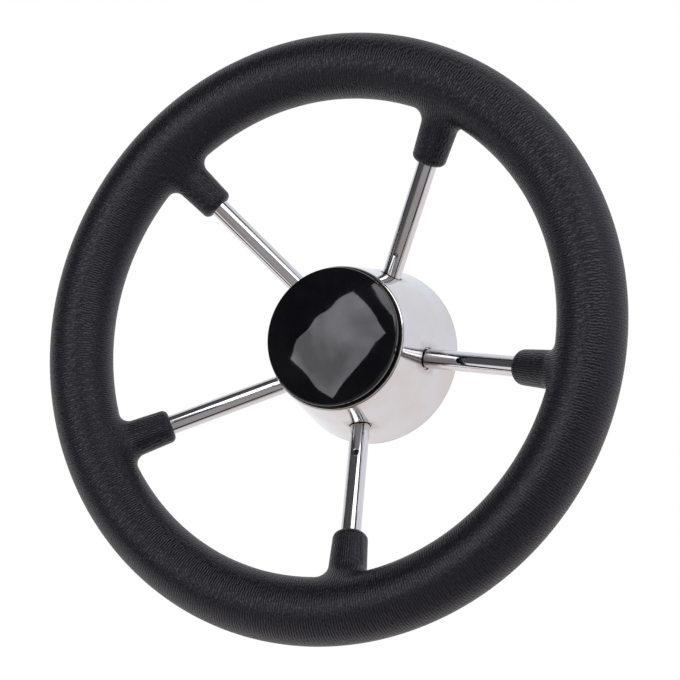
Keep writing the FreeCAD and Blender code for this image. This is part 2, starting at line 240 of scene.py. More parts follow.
def arc(centre, radius, start, end, steps):
    """Points centre + radius (cos a, sin a), with a from start to end in degrees."""
    angle = np.radians(np.linspace(start, end, steps + 1))
    return np.stack([centre[0] + radius * np.cos(angle), centre[1] + radius * np.sin(angle)], -1)


def outward(angle):
    """Unit vector across the shaft at an angle."""
    angle = np.asarray(angle, float)
    return np.stack([np.cos(angle), np.zeros_like(angle), np.sin(angle)], -1)


def revolved(profile, angle):
    """Profile (along the shaft, radius) turned about it: along * back + radius * outward(angle)."""
    return profile[:, 0, None, None] * BACK + profile[:, 1, None, None] * outward(angle)


def along_profile(profile):
    """Length along a profile, from its first point."""
    return np.concatenate([[0.0], np.cumsum(np.hypot(*np.diff(profile, axis=0).T))])


def lathe(skin, profile, segments):
    """Profile turned about the shaft. Its first and last points lie on the axis and become poles."""
    angle = circle(segments)
    length = along_profile(profile)
    ids = skin.add(revolved(profile[1:-1], angle), pairs(angle, length[1:-1, None]))
    skin.rings(ids)
    skin.fan(ids[0][::-1], skin.add(profile[0, 0] * BACK))
    skin.fan(ids[-1], skin.add(profile[-1, 0] * BACK, np.array([0.0, length[-1]])))


class Spoke:
    """Frame of one spoke: centre in the ring, down its length, along the ring and across both."""

    def __init__(self, sizes, index):
        angle = FIRST_SPOKE - index * TURN / SPOKES
        out = outward(angle)
        self.centre = sizes.ring_radius * out + sizes.ring_place * BACK
        self.down = -math.cos(sizes.dish_angle) * out + math.sin(sizes.dish_angle) * BACK
        self.side = np.array([-math.sin(angle), 0.0, math.cos(angle)])
        self.across = math.sin(sizes.dish_angle) * out + math.cos(sizes.dish_angle) * BACK

    def point(self, length, radius, angle):
        """centre + length down + radius (cos angle side + sin angle across)."""
        length, radius, angle = (np.asarray(value, float)[..., None] for value in (length, radius, angle))
        beside = radius * (np.cos(angle) * self.side + np.sin(angle) * self.across)
        return self.centre + length * self.down + beside

    def turned(self, section, angle):
        """Rows of a section (length, radius) turned about the spoke."""
        return self.point(section[:, 0, None], section[:, 1, None], angle)

    def split(self, points):
        """Length down the spoke and distance from its axis."""
        offset = points - self.centre
        length = offset @ self.down
        return length, np.linalg.norm(offset - length[..., None] * self.down, axis=-1)


# Grip

def ring_distance(sizes, points):
    """hypot(distance from shaft - ring radius, place along shaft - ring place) - grip radius."""
    from_shaft = np.hypot(points[..., 0], points[..., 2])
    return np.hypot(from_shaft - sizes.ring_radius, points[..., 1] - sizes.ring_place) - sizes.grip_radius


def sleeve_distance(sizes, spoke, points):
    """Distance from a tapered sleeve whose tip has a round edge."""
    length, radius = spoke.split(points)
    straight = sizes.sleeve_length - sizes.sleeve_rounding
    taper = (sizes.sleeve_root - sizes.sleeve_tip) / (straight - sizes.rod_radius)
    beside = radius - (sizes.sleeve_tip + taper * (straight - length)) + sizes.sleeve_rounding
    beyond = length - straight
    outside = np.hypot(np.maximum(beside, 0), np.maximum(beyond, 0))
    return outside + np.minimum(np.maximum(beside, beyond), 0) - sizes.sleeve_rounding


def grip_distance(sizes, spoke, points):
    """Union of ring and sleeve with a round fillet: max(k, min(a, b)) - hypot(k - a, k - b)."""
    a = ring_distance(sizes, points)
    b = sleeve_distance(sizes, spoke, points)
    blend = sizes.sleeve_blend
    corner = np.hypot(np.maximum(blend - a, 0), np.maximum(blend - b, 0))
    return np.maximum(blend, np.minimum(a, b)) - corner


def settle(distance, points):
    """Moves points along the gradient of a distance until it is nought."""
    steps, reach, least_slope = 25, 1e-5, 1e-3
    axes = np.eye(3) * reach
    for _ in range(steps):
        value = distance(points)
        rise = np.stack([distance(points + axis) - distance(points - axis) for axis in axes], -1)
        slope = rise / (2 * reach)
        points = points - (value / np.maximum((slope ** 2).sum(-1), least_slope))[..., None] * slope
    return points


def grip_skin(sizes):
    """Ring and sleeves in one skin.

    The ring is centre(phi) + r (cos t inward + sin t back). Round each spoke a block of its cells gives
    way to loops that turn from the block's edge into circles about the spoke, and then run down the
    sleeve, round its tip and in along the rod by the depths and widths of lip. The loops outside the
    tip are moved on to the union of ring and sleeve.
    """
    columns, rows = 360, 60
    half_width, half_height = 10, 12
    ring_steps, fillet_steps, sleeve_steps, tip_steps = 9, 10, 9, 8
    mouth = sizes.rod_radius + 0.0001
    lip = ((0, 0.0003), (0.0001, 0.00008), (0.0004, 0), (sizes.sleeve_blend, 0))
    skin = Skin()
    cell_angle, cell_turn = TURN / columns, TURN / rows

    def ring_point(phi, turn):
        turn = (np.asarray(turn) + sizes.dish_angle)[..., None]
        out = outward(FIRST_SPOKE + np.asarray(phi))
        section = -np.cos(turn) * out + np.sin(turn) * BACK
        return sizes.ring_radius * out + sizes.ring_place * BACK + sizes.grip_radius * section

    phi, turn = np.meshgrid(np.arange(columns) * cell_angle, np.arange(rows) * cell_turn, indexing="ij")
    ids = skin.add(ring_point(phi, turn), np.stack([phi * sizes.ring_radius, turn * sizes.grip_radius], -1))
    middles = [-index * columns // SPOKES for index in range(SPOKES)]
    blocks = [(middle - half_width, -half_height, 2 * half_width, 2 * half_height) for middle in middles]
    loops = open_grid(skin, ids, blocks)

    inner_radius = sizes.ring_radius - sizes.grip_radius
    root_loop = sizes.sleeve_root + 0.2 * sizes.sleeve_blend
    straight = sizes.sleeve_length - sizes.sleeve_rounding
    fillet_end = sizes.grip_radius + sizes.sleeve_blend
    for index, (loop_columns, loop_rows) in enumerate(loops):
        spoke = Spoke(sizes, index)
        side = (loop_columns - middles[index]) * cell_angle * inner_radius
        across = loop_rows * cell_turn * sizes.grip_radius
        around = np.arctan2(across, side)

        share = shares(ring_steps)[:, None]
        ring_side = between(side, root_loop * np.cos(around), share)
        ring_across = between(across, root_loop * np.sin(around), share)
        on_ring = ring_point(middles[index] * cell_angle + ring_side / inner_radius,
                             ring_across / sizes.grip_radius)
        fillet_foot = spoke.point(fillet_end, sizes.sleeve_root, around)
        fillet = between(on_ring[-1], fillet_foot, shares(fillet_steps)[:, None, None])
        lengths = np.linspace(fillet_end, straight, sleeve_steps + 1)[1:, None]
        sleeve = spoke.point(lengths, sizes.sleeve_tip, around)
        moved = settle(lambda points: grip_distance(sizes, spoke, points),
                       np.concatenate([on_ring, fillet, sleeve]))

        tip = arc((straight, sizes.sleeve_tip - sizes.sleeve_rounding), sizes.sleeve_rounding, 90, 0,
                  tip_steps)[1:]
        inward = [(sizes.sleeve_length - depth, mouth + width) for depth, width in lip]
        closing = spoke.turned(np.concatenate([tip, inward]), around)
        surface = np.concatenate([moved, closing])
        travelled = np.linalg.norm(np.diff(surface, axis=0, prepend=surface[:1]), axis=-1).cumsum(0)
        new = skin.add(surface, pairs(side / 2, across / 2 + travelled))
        skin.rings([ids[loop_columns % columns, loop_rows % rows], *new])
        skin.fan(new[-1], skin.add(spoke.point(inward[-1][0], 0.0, 0.0)))
    return skin


# Spokes

def spoke_skin(sizes, index):
    """A rod: centre + s down + r (cos a side + sin a across), from inside the ring to inside the boss."""
    spoke = Spoke(sizes, index)
    skin = Skin()
    broken_edge, end_ring, rings = 0.0003, 0.002, 60
    seam_inset, seam_width = 0.0005, 0.002
    into_boss = 0.2 * sizes.boss_radius
    end = (sizes.ring_radius - sizes.boss_radius + into_boss) / math.cos(sizes.dish_angle)
    body = np.array([
        (0.0, sizes.rod_radius - broken_edge), (broken_edge, sizes.rod_radius),
        *((s, sizes.rod_radius) for s in np.linspace(end_ring, end - end_ring, rings)),
        (end - broken_edge, sizes.rod_radius), (end, sizes.rod_radius - broken_edge),
    ])
    around = circle(96)
    length = body[:, 0, None]
    # Dirt and painted shade where the rod goes into the sleeve's tip
    wear_and_shade = np.clip(1 - np.abs(length - sizes.sleeve_length + seam_inset) / seam_width, 0, 1)
    ids = skin.add(spoke.turned(body, around), pairs(around * sizes.rod_radius, length), wear_and_shade)
    skin.rings(ids)
    skin.fan(ids[0][::-1], skin.add(spoke.point(0.0, 0.0, 0.0)))
    skin.fan(ids[-1], skin.add(spoke.point(end, 0.0, 0.0)))
    return skin


# Skirt

def skirt_profile(sizes):
    """Closed section of the skirt and the numbers of the rows beside a hole, outside and inside.

    Outside from the rear edge to the ledge, round its edge, back along the inside and round the rear.
    """
    depth = sizes.skirt_rear - sizes.skirt_front
    flare = math.atan((sizes.skirt_rear_radius - sizes.skirt_front_radius) / depth)
    slope = np.array([-math.cos(flare), -math.sin(flare)])
    normal = np.array([math.sin(flare), -math.cos(flare)])
    rear = np.array([sizes.skirt_rear, sizes.skirt_rear_radius])
    reach = sizes.skirt_fold * math.tan((math.pi / 2 - flare) / 2)
    straight = depth / math.cos(flare) - reach
    edge, small, inset = 0.0004, 0.00025, 0.0005
    fold_steps, inner_steps, ledge_rows = 10, 5, 6
    hole = hole_place(sizes, flare)
    rows_beside, pitch = 6, 0.002
    first, last = hole - rows_beside * pitch, hole + rows_beside * pitch
    below = np.arange(first, edge + pitch / 2, -pitch)[::-1]
    above = np.arange(last, straight - pitch / 2, pitch)
    beside = np.linspace(first, last, 2 * rows_beside + 1)
    lengths = np.concatenate([[edge], below[:-1], beside, above[1:], [straight]])
    hole_row = len(below)
    outside = rear + lengths[:, None] * slope

    centre = (sizes.skirt_front + sizes.skirt_fold, sizes.skirt_front_radius - reach)
    tilt = math.degrees(flare)
    fold = arc(centre, sizes.skirt_fold, 90 + tilt, 180, fold_steps)[1:]
    lip = sizes.ledge_radius
    front, back = sizes.skirt_front, sizes.skirt_front + sizes.skirt_wall
    ledge = pairs(front, np.linspace(centre[1] - inset, lip + small, ledge_rows))
    lip_edge = np.array([(front + small * 0.3, lip + small * 0.3), (front + small, lip),
                         (back - small, lip), (back - small * 0.3, lip + small * 0.3)])
    under = ledge[::-1] + np.array([sizes.skirt_wall, 0.0])
    inner_fold = arc(centre, sizes.skirt_fold - sizes.skirt_wall, 180, 90 + tilt, inner_steps)
    inside = (rear + normal * sizes.skirt_wall + lengths[:, None] * slope)[::-1]
    rear_end = rear + normal * sizes.skirt_wall
    turn_in = np.array([
        rear_end + slope * inset, (sizes.skirt_rear - 0.0001, rear_end[1] - 0.00005),
        (sizes.skirt_rear, rear_end[1] + 0.0002), (sizes.skirt_rear, rear[1] - edge),
        (sizes.skirt_rear - 0.00012, rear[1] - 0.00014)])
    front_end = np.concatenate([outside, fold, ledge, lip_edge, under, inner_fold])
    profile = np.concatenate([front_end, inside[1:-1], turn_in])
    inner_row = len(front_end) + len(inside) - 2 - (hole_row + 2 * rows_beside)
    return profile, hole_row, inner_row, 2 * rows_beside


def fold_wear_and_shade(sizes, profile):
    """Mask of dirt and painted shade at the seam between skirt and cap: 1 on the ledge, falling off over
    the fold as (1 - depth / fold) ^ 3.

    The turned edge at the rear is dull too, with some dirt and a patchy line of painted shade.
    """
    beside_cap, rear_rows, rear_wear_and_shade = 0.001, [-4, -3, -2, -1, 0], 0.42
    depth = np.clip((profile[:, 0] - sizes.skirt_front) / sizes.skirt_fold, 0, 1)
    wear_and_shade = (1 - depth) ** 3 * (profile[:, 1] < sizes.cap_radius + beside_cap)
    wear_and_shade[rear_rows] = rear_wear_and_shade
    return wear_and_shade


def hole_place(sizes, flare):
    """Length along the skirt, from its rear corner, where the spoke's axis goes through it."""
    rise = math.tan(sizes.dish_angle)
    rear = sizes.skirt_rear - sizes.ring_place
    radius = sizes.skirt_rear_radius - (rear - sizes.ring_radius * rise) * math.tan(flare)
    radius /= 1 + rise * math.tan(flare)
    return (sizes.skirt_rear_radius - radius) / math.sin(flare)


def cone_crossing(spoke, radius, around, apex, slope):
    """Where lines along a spoke, at a radius from its axis, cross the cone of radius slope (y - apex).

    Solves |(start + s down) across the shaft|^2 = slope^2 (y - apex)^2 for the nearer s.
    """
    start = spoke.point(0.0, radius, around)
    x, y, z = start[..., 0], start[..., 1] - apex, start[..., 2]
    dx, dy, dz = spoke.down
    a = dx * dx + dz * dz - (slope * dy) ** 2
    b = x * dx + z * dz - slope ** 2 * y * dy
    c = x * x + z * z - (slope * y) ** 2
    s = (-b - np.sqrt(b * b - a * c)) / a
    return start + s[..., None] * spoke.down


def skirt_skin(sizes):
    """The spun skirt: its section turned about the shaft, with a hole for each spoke.

    Round a hole a block of cells gives way to loops from the block's edge to the line where the
    hole's cylinder crosses the cone, outside and inside, and a wall joins the two. rounded gives the
    widths and depths of the hole's rounded rim.
    """
    profile, outer_row, inner_row, height = skirt_profile(sizes)
    columns, half_width, steps = 360, 13, 8
    rounded = ((0.0004, 0.0), (0.0001, 0.00004), (0.0, 0.00015))
    # The hole rims and the cone round them get dirt and a near-black line of painted shade in the gap
    rim_wear_and_shade, edge_wear_and_shade, uv_share = (0.7, 0.9, 1.0), 0.55, 0.4
    skin = Skin()
    angle = np.arange(columns) * TURN / columns
    length = along_profile(profile)
    ids = skin.add(revolved(profile, FIRST_SPOKE + angle).swapaxes(0, 1), pairs(angle[:, None], length),
                   fold_wear_and_shade(sizes, profile))
    middles = [-index * columns // SPOKES for index in range(SPOKES)]
    blocks = [(middle - half_width, row, 2 * half_width, height)
              for middle in middles for row in (outer_row, inner_row)]
    loops = open_grid(skin, ids, blocks)

    slope = (sizes.skirt_rear_radius - sizes.skirt_front_radius) / (sizes.skirt_rear - sizes.skirt_front)
    outer_apex = sizes.skirt_rear - sizes.skirt_rear_radius / slope
    across_wall = sizes.skirt_wall * math.sqrt(1 + slope ** 2)
    inner_apex = sizes.skirt_rear - (sizes.skirt_rear_radius - across_wall) / slope
    radius = sizes.rod_radius + sizes.hole_gap
    for index in range(SPOKES):
        spoke = Spoke(sizes, index)
        edges = []
        both = zip(loops[2 * index:2 * index + 2], (outer_apex, inner_apex), (outer_row, inner_row))
        for (loop_columns, loop_rows), apex, row in both:
            edge_ids = ids[loop_columns % columns, loop_rows]
            edge = skin.points[edge_ids]
            middle_row = row + height // 2
            side = (loop_columns - middles[index]) * TURN / columns * profile[middle_row, 1]
            around = np.arctan2(edge[:, 1] - profile[middle_row, 0], side)
            inwards = 1 if apex == outer_apex else -1
            rim = np.stack([
                cone_crossing(spoke, radius + wide, around, apex + inwards * deep / slope, slope)
                for wide, deep in rounded])
            flat = on_cone(between(edge, rim[0], shares(steps)[:-1, None, None]), apex, slope)
            surface = np.concatenate([flat, rim])
            hole = np.array([middles[index] * TURN / columns, length[middle_row]])
            share = np.linspace(0, uv_share, len(surface) + 1)[1:, None, None]
            wear_and_shade = np.concatenate([np.linspace(0, edge_wear_and_shade, len(flat)), rim_wear_and_shade])[:, None]
            new = skin.add(surface, between(skin.places[edge_ids], hole, share), wear_and_shade)
            skin.rings([edge_ids, *new])
            edges.append(new[-1][np.argsort(around % TURN, kind="stable")])
        skin.rings(edges[::-1])
    return skin


def on_cone(points, apex, slope):
    """Points moved across the shaft until their radius is slope (y - apex)."""
    from_shaft = np.hypot(points[..., 0], points[..., 2])
    scale = slope * (points[..., 1] - apex) / from_shaft
    return points * np.stack([scale, np.ones_like(scale), scale], -1)


# Cap

def cap_skin(sizes):
    """The moulded cap: its section turned about the shaft, with faint sink waves that fade to its rim."""
    foot, clear, sink = 0.0003, 0.0002, 0.00013
    outer_steps, inner_steps, corner_steps, segments = 48, 24, 8, 240
    skin = Skin()
    front = sizes.skirt_front
    shoulder, top = front - sizes.cap_edge, front - sizes.cap_height
    outer = dome(top, shoulder, sizes.cap_radius, outer_steps)
    wall = sizes.cap_wall
    inner = dome(top + wall, shoulder + wall, sizes.cap_radius - wall, inner_steps)[::-1]
    corner = rounded_corner(outer[-2], outer[-1], np.array([front, sizes.cap_radius]),
                            sizes.cap_rounding, corner_steps)
    profile = np.concatenate([
        outer[outer[:, 1] < corner[0, 1] - clear], corner,
        [(front - foot, sizes.cap_radius), (front - foot * 0.3, sizes.cap_radius - foot * 0.3),
         (front, sizes.cap_radius - foot), (front, sizes.cap_radius - wall + foot),
         (front - foot, sizes.cap_radius - wall)],
        inner,
    ])
    lathe(skin, profile, segments)
    on_dome = skin.points[:, 1] < shoulder
    x, z = skin.points[:, 0], skin.points[:, 2]
    fade = np.clip(1 - np.hypot(x, z) / sizes.cap_radius, 0, 1) ** 0.5
    skin.points[:, 1] += on_dome * fade * sink * (1 + sink_waves(x, z))
    snap_legs(skin, sizes)
    return skin


def snap_legs(skin, sizes):
    """Six legs: a hooked section turned about the shaft through a short arc, closed at both ends."""
    outside = sizes.ledge_radius - sizes.leg_gap
    inside = outside - sizes.leg_wall
    into_dome, steps = 0.0008, 8
    root = sizes.skirt_front - sizes.cap_edge - into_dome
    hook = sizes.skirt_front + sizes.skirt_wall + sizes.leg_gap
    tip = hook + sizes.leg_nose
    section = np.array([
        (root, inside), (root, outside), (hook, outside), (hook, sizes.ledge_radius + sizes.leg_hook),
        (tip, outside - sizes.leg_wall / 2), (tip, inside)])
    half = sizes.leg_width / 2
    for middle in np.radians(range(30, 390, 60)):
        angle = np.linspace(middle + half, middle - half, steps + 1)
        ids = skin.add(revolved(section, angle).swapaxes(0, 1))
        skin.rings(ids)
        skin.faces += [ids[0][::-1].tolist(), ids[-1].tolist()]


def sink_waves(x, z):
    """Mean of three sine waves 15 to 20 mm long, from -1 to 1."""
    waves = (330, 150, 0.0), (-120, 290, 1.3), (210, 360, 0.6)
    return sum(np.sin(x * along + z * up + start) for along, up, start in waves) / len(waves)


def dome(top, edge_place, edge_radius, steps):
    """Arc from the axis at top to the edge, on a sphere of radius (h^2 + r^2) / 2h."""
    height = edge_place - top
    radius = (height ** 2 + edge_radius ** 2) / (2 * height)
    half = math.asin(edge_radius / radius)
    angle = np.linspace(0, half, steps + 1)
    points = np.stack([top + radius - radius * np.cos(angle), radius * np.sin(angle)], -1)
    points[0, 1] = 0.0
    return points


def rounded_corner(before, corner, after, radius, steps):
    """Arc that touches both sides of a corner."""
    first = (before - corner) / np.linalg.norm(before - corner)
    second = (after - corner) / np.linalg.norm(after - corner)
    half = math.acos(np.clip(first @ second, -1, 1)) / 2
    middle = (first + second) / np.linalg.norm(first + second)
    centre = corner + middle * radius / math.sin(half)
    start = corner + first * radius / math.tan(half) - centre
    end = corner + second * radius / math.tan(half) - centre
    share = np.linspace(0, 1, steps + 1)[:, None]
    turn = math.pi - 2 * half
    mixed = np.sin((1 - share) * turn) * start + np.sin(share * turn) * end
    return centre + mixed / math.sin(turn)


# Welds

def weld_skin(sizes, index):
    """A bead round a spoke where it meets the boss.

    Its middle line is the crossing of the rod's cylinder with the boss, and its section a circle whose
    radius swells and sinks along it.
    """
    bead, uv_radius, ripple, sway = 0.0019, 0.006, (0.10, 26), (0.06, 9)
    spoke = Spoke(sizes, index)
    skin = Skin()
    around, section = circle(240), circle(16)
    start = spoke.point(0.0, sizes.rod_radius, around)
    across = start[:, [0, 2]]
    step = spoke.down[[0, 2]]
    a = step @ step
    b = across @ step
    c = (across ** 2).sum(-1) - sizes.boss_radius ** 2
    line = start + ((-b - np.sqrt(b * b - a * c)) / a)[:, None] * spoke.down
    forward = np.roll(line, -1, 0) - np.roll(line, 1, 0)
    forward /= np.linalg.norm(forward, axis=-1, keepdims=True)
    from_boss = line * [1, 0, 1] / sizes.boss_radius
    second = np.cross(forward, from_boss)
    ripples = 1 + ripple[0] * np.sin(around * ripple[1]) + sway[0] * np.sin(around * sway[1] + 1.0)
    size = bead * ripples[:, None, None]
    points = line[:, None] + size * (np.cos(section)[:, None] * from_boss[:, None]
                                     + np.sin(section)[:, None] * second[:, None])
    ids = skin.add(points, pairs(around[:, None] * uv_radius, section * bead))
    skin.rings([*ids, ids[0]])
    return skin


# Materials

MIX_COLOURS, MIX_RESULT = (6, 7), 2
FLOOR_FADE = 0.45, 1.5


def new_node(tree, kind, inputs=None, **settings):
    """A node whose inputs are plain values or come from other nodes."""
    node = tree.nodes.new(kind)
    for name, value in settings.items():
        setattr(node, name, value)
    for name, value in (inputs or {}).items():
        if isinstance(value, bpy.types.NodeSocket):
            tree.links.new(value, node.inputs[name])
        else:
            node.inputs[name].default_value = value
    return node


class Finish:
    """A material and short calls for its nodes. The scales of its noises are features to the metre."""

    def __init__(self, name, colour, **sockets):
        self.material = bpy.data.materials.new(name)
        self.material.use_nodes = True
        self.tree = self.material.node_tree
        self.shader = self.tree.nodes["Principled BSDF"]
        self.shader.inputs["Base Color"].default_value = (*colour, 1)
        for socket, value in sockets.items():
            self.shader.inputs[socket.replace("_", " ").title().replace("Ior", "IOR")].default_value = value

    def node(self, kind, inputs=None, **settings):
        return new_node(self.tree, kind, inputs, **settings)

    def place(self, kind="Object", scale=(1, 1, 1)):
        """Object or UV coordinates, stretched."""
        coordinates = self.node("ShaderNodeTexCoord").outputs[kind]
        return self.node("ShaderNodeMapping", {"Vector": coordinates, "Scale": scale}).outputs["Vector"]

    def noise(self, scale, place=None, detail=2.0, roughness=0.5, distortion=0.0):
        return self.node("ShaderNodeTexNoise", {
            "Vector": self.place() if place is None else place, "Scale": scale, "Detail": detail,
            "Roughness": roughness, "Distortion": distortion}).outputs["Fac"]

    def bent(self, place, scale, reach):
        """Coordinates pushed about by a noise, so that a pattern on them runs unevenly."""
        noise = self.node("ShaderNodeTexNoise", {"Vector": place, "Scale": scale, "Detail": 1.0})
        return self.node("ShaderNodeVectorMath", {0: noise.outputs["Color"], 1: (reach,) * 3, 2: place},
                         operation="MULTIPLY_ADD").outputs[0]

    def range(self, value, low, high, to_low=0.0, to_high=1.0):
        return self.node("ShaderNodeMapRange", {
            "Value": value, "From Min": low, "From Max": high, "To Min": to_low,
            "To Max": to_high}).outputs["Result"]

    def wear_and_shade(self, uneven):
        """How near a point is to a seam, from 0 to 1, broken up by a noise and lifted close to it. It
        places dirt, dullness and painted shade.
        """
        near = self.node("ShaderNodeAttribute", attribute_name="wear_and_shade").outputs["Fac"]
        noise = self.range(self.noise(300, detail=3), 0.3, 0.7, -uneven, uneven)
        return self.sum(near, noise, self.range(near, 0.0, 0.5, 0.0, 0.3))

    def calculate(self, operation, *values):
        return self.node("ShaderNodeMath", dict(enumerate(values)), operation=operation).outputs[0]

    def sum(self, first, second, share=1.0):
        """first + share * second."""
        return self.calculate("MULTIPLY_ADD", second, share, first)

    def mix(self, factor, *colours):
        """From one colour to the other by the factor. Each is plain or comes from a node."""
        inputs = {"Factor": factor}
        for socket, colour in zip(MIX_COLOURS, colours):
            inputs[socket] = colour if isinstance(colour, bpy.types.NodeSocket) else (*colour, 1)
        return self.node("ShaderNodeMix", inputs, data_type="RGBA").outputs[MIX_RESULT]

    def bump(self, height, distance, strength=1.0, normal=None):
        inputs = {"Height": height, "Distance": distance, "Strength": strength}
        if normal is not None:
            inputs["Normal"] = normal
        return self.node("ShaderNodeBump", inputs).outputs["Normal"]

    def link(self, value, socket):
        self.tree.links.new(value, self.shader.inputs[socket])


def scaled(colour, *factors):
    """A colour times one factor, or times one for each channel."""
    return tuple(channel * factor for channel, factor in zip(colour, factors * (3 // len(factors))))


def foam_finish(colours):
    """Satin skin of moulded foam: short leathery wrinkles, dull between them and where seen edge on, with
    painted shade in their creases and painted light on their tops.

    Their height is sin(640 a + 6.5 noise) + 2.8 pebbles, with a the angle about the shaft, so that
    they run unevenly across the ring.
    """
    wrinkles_round, uneven, pebble_share, depth = 640, 6.5, 2.8, 0.00025
    finish = Finish("foam_skin", colours.foam, roughness=0.38, specular_tint=(0.86, 0.84, 1.0, 1.0))
    place = finish.bent(finish.place(), 420, 0.0007)
    axes = finish.node("ShaderNodeSeparateXYZ", {"Vector": place}).outputs
    angle = finish.calculate("ARCTAN2", axes["X"], axes["Z"])
    turned = finish.sum(0.0, angle, wrinkles_round)
    wrinkles = finish.calculate("SINE", finish.sum(turned, finish.noise(420, place, detail=0), uneven))
    pebbles = finish.noise(900, detail=1)
    height = finish.range(finish.sum(wrinkles, pebbles, pebble_share), -0.1, 2.9)
    finish.link(finish.bump(height, depth), "Normal")
    patches = finish.noise(28, detail=3)
    finish.link(finish.range(finish.sum(patches, height, -0.3), 0.0, 0.8, 0.30, 0.40), "Roughness")
    facing = finish.node("ShaderNodeLayerWeight", {"Blend": 0.5}).outputs["Facing"]
    gloss = finish.sum(finish.range(facing, 0.50, 0.94, 0.30, -0.04), height, 0.15)
    finish.link(finish.range(gloss, 0.0, 0.66, 0.02, 0.58), "Specular IOR Level")
    # Painted shade in the creases of the wrinkles and painted light on their tops
    low, high = scaled(colours.foam, 0.45), scaled(colours.foam, 1.3)
    finish.link(finish.mix(finish.range(height, 0.15, 0.85), low, high), "Base Color")
    return finish.material


def polished_finish(name, colour, lines, roughness):
    """Polished stainless steel: fine lines from the mop, faint smears, water stains, brown dirt at the
    seams and a near-black line of painted shade in them.

    lines stretches the UV map, so that the lines run along or round the piece.
    """
    finish = Finish(name, colour, metallic=1.0, roughness=roughness)
    fine = finish.noise(1.0, finish.place("UV", lines), detail=3, roughness=0.6)
    smears = finish.noise(45, detail=4, roughness=0.6, distortion=0.6)
    stains = finish.range(finish.noise(42, detail=4, distortion=0.3), 0.42, 0.72)
    waves = finish.noise(60, detail=1)
    seams = finish.wear_and_shade(0.5)
    blur = finish.range(finish.sum(smears, fine, 0.4), 0.45, 0.95, roughness * 0.6, roughness * 1.7)
    blur = finish.sum(finish.sum(blur, stains, 0.06), finish.range(seams, 0.1, 1.0, 0.0, 0.3))
    finish.link(blur, "Roughness")
    normal = finish.bump(waves, 0.00006, 0.6)
    finish.link(finish.bump(fine, 0.000004, 0.5, normal), "Normal")
    tone = finish.mix(stains, scaled(colour, 0.97, 0.985, 1.02), scaled(colour, 0.95, 0.90, 0.86))
    brown = finish.mix(finish.range(seams, 0.05, 0.75, 0.0, 0.5), tone, (0.34, 0.27, 0.20))
    # Painted shade: a near-black line in the gaps at the seams
    painted_gap_shade = finish.range(finish.wear_and_shade(0.4), 0.62, 0.78)
    finish.link(finish.mix(painted_gap_shade, brown, (0.02, 0.016, 0.012)), "Base Color")
    return finish.material


def turned_finish(colours):
    """Turned steel: rings from the tool, on Object coordinates, with dulled patches."""
    finish = Finish("turned_steel", colours.steel, metallic=1.0, roughness=0.3)
    marks = finish.noise(1.0, finish.place("Object", (120, 5200, 120)), detail=2)
    dull = finish.noise(110, detail=4)
    finish.link(finish.range(finish.sum(dull, marks, 0.5), 0.4, 1.1, 0.2, 0.42), "Roughness")
    finish.link(finish.bump(marks, 0.00002, 0.6), "Normal")
    dulled = finish.range(dull, 0.35, 0.7)
    finish.link(finish.mix(dulled, scaled(colours.steel, 0.8), colours.steel), "Base Color")
    return finish.material


def plain_steel_finish(colours):
    """Plain steel of washer, nut and ring: fine tumbled grain and small handling marks."""
    finish = Finish("plain_steel", colours.steel, metallic=1.0, roughness=0.34)
    grain = finish.noise(1800, detail=2)
    marks = finish.noise(240, detail=5, distortion=1.5)
    finish.link(finish.range(finish.sum(marks, grain, 0.3), 0.4, 0.9, 0.26, 0.46), "Roughness")
    finish.link(finish.bump(grain, 0.00001, 0.4), "Normal")
    handled = finish.range(marks, 0.4, 0.6)
    finish.link(finish.mix(handled, scaled(colours.steel, 0.75), colours.steel), "Base Color")
    return finish.material


def weld_finish(colours):
    """Cleaned weld metal: satin ripples, with straw and blue left by the heat."""
    finish = Finish("weld_metal", colours.steel, metallic=1.0, roughness=0.38)
    heat = finish.noise(160, detail=3, distortion=0.5)
    pits = finish.noise(1400, detail=2)
    finish.link(finish.range(pits, 0.3, 0.7, 0.3, 0.5), "Roughness")
    finish.link(finish.bump(pits, 0.00004, 0.6), "Normal")
    straw, blue = (0.50, 0.42, 0.30), (0.42, 0.43, 0.48)
    finish.link(finish.mix(finish.range(heat, 0.4, 0.6), straw, blue), "Base Color")
    return finish.material


def cap_finish(colours):
    """Gloss black moulding: orange peel, faint specks of dust and haze, and clouds in its gloss."""
    finish = Finish("gloss_cap", colours.cap, roughness=0.07, specular_tint=(0.95, 0.94, 1.0, 1.0))
    peel = finish.noise(260, detail=1)
    dust = finish.noise(2600, detail=1)
    haze = finish.noise(34, detail=3, distortion=0.7)
    specks = finish.range(dust, 0.66, 0.76)
    finish.link(finish.bump(peel, 0.00002, 0.35), "Normal")
    finish.link(finish.range(finish.sum(haze, specks, 0.5), 0.35, 0.9, 0.03, 0.10), "Roughness")
    clouds = finish.noise(34, detail=3, roughness=0.55, distortion=0.2)
    finish.link(finish.range(clouds, 0.35, 0.66, 0.34, 0.74), "Specular IOR Level")
    finish.link(finish.mix(specks, colours.cap, (0.02, 0.02, 0.021)), "Base Color")
    return finish.material


